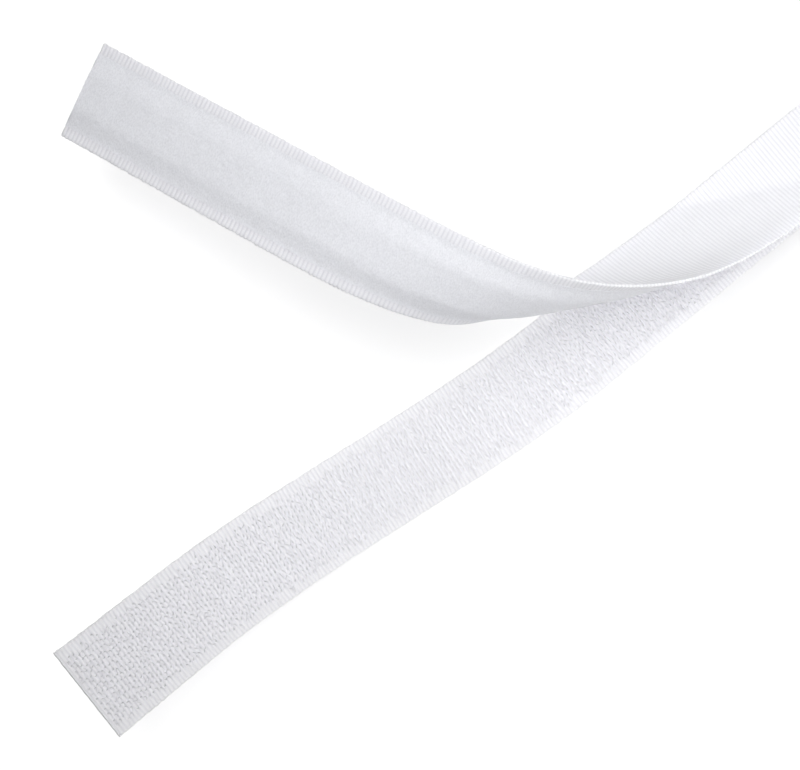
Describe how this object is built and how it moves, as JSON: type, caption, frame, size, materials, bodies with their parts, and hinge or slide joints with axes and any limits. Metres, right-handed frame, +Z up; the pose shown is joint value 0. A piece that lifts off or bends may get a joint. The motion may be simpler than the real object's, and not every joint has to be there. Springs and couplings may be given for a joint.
{
  "type": "hook and loop tape roll",
  "caption": "White hook and loop tape on a core tube, its free end peeled open: the hook tape lies face up and the loop tape curls over beside it.",
  "frame": {"origin": "on the table under the middle of the peel line, on the hook tape's back", "axes": "+X along the closed tape towards the roll, +Y to the side over which the peeled loop tape falls, +Z up"},
  "size_m": [0.2882, 0.1134, 0.0858],
  "materials": {
    "hook_weave": "matte",
    "hook_monofilament": "satin",
    "loop_pile": "matte",
    "loop_weave": "matte",
    "core_board": "matte"
  },
  "bodies": {
    "mated_run": {"hook_ground_run": "hook_weave", "hook_rows_run": "hook_monofilament", "loop_pile_run": "loop_pile", "loop_ground_run": "loop_weave"},
    "hook_end": {"hook_ground_end": "hook_weave", "hook_rows_rise": "hook_monofilament", "hook_rows_end": "hook_monofilament"},
    "loop_end": {"loop_pile_end": "loop_pile", "loop_ground_end": "loop_weave"},
    "roll": {"hook_ground_roll": "hook_weave", "hook_rows_roll": "hook_monofilament", "loop_pile_roll": "loop_pile", "loop_ground_roll": "loop_weave", "core_tube": "core_board"}
  },
  "joints": [
    {"name": "hook_flex", "type": "hinge", "parent": "mated_run", "child": "hook_end", "pos_m": [-0.073, 0.00085, 0.00065], "axis": [0.0807, 0.9967, 0], "range_deg": [0, 60]},
    {"name": "loop_flex", "type": "hinge", "parent": "mated_run", "child": "loop_end", "pos_m": [-0.07, 0.02565, 0.03141], "axis": [0.8802, -0.3937, 0.265], "range_deg": [0, 60]},
    {"name": "roll_flex", "type": "hinge", "parent": "mated_run", "child": "roll", "pos_m": [0.037, 0, 0.00325], "axis": [0, -1, 0], "range_deg": [0, 25]}
  ]
}
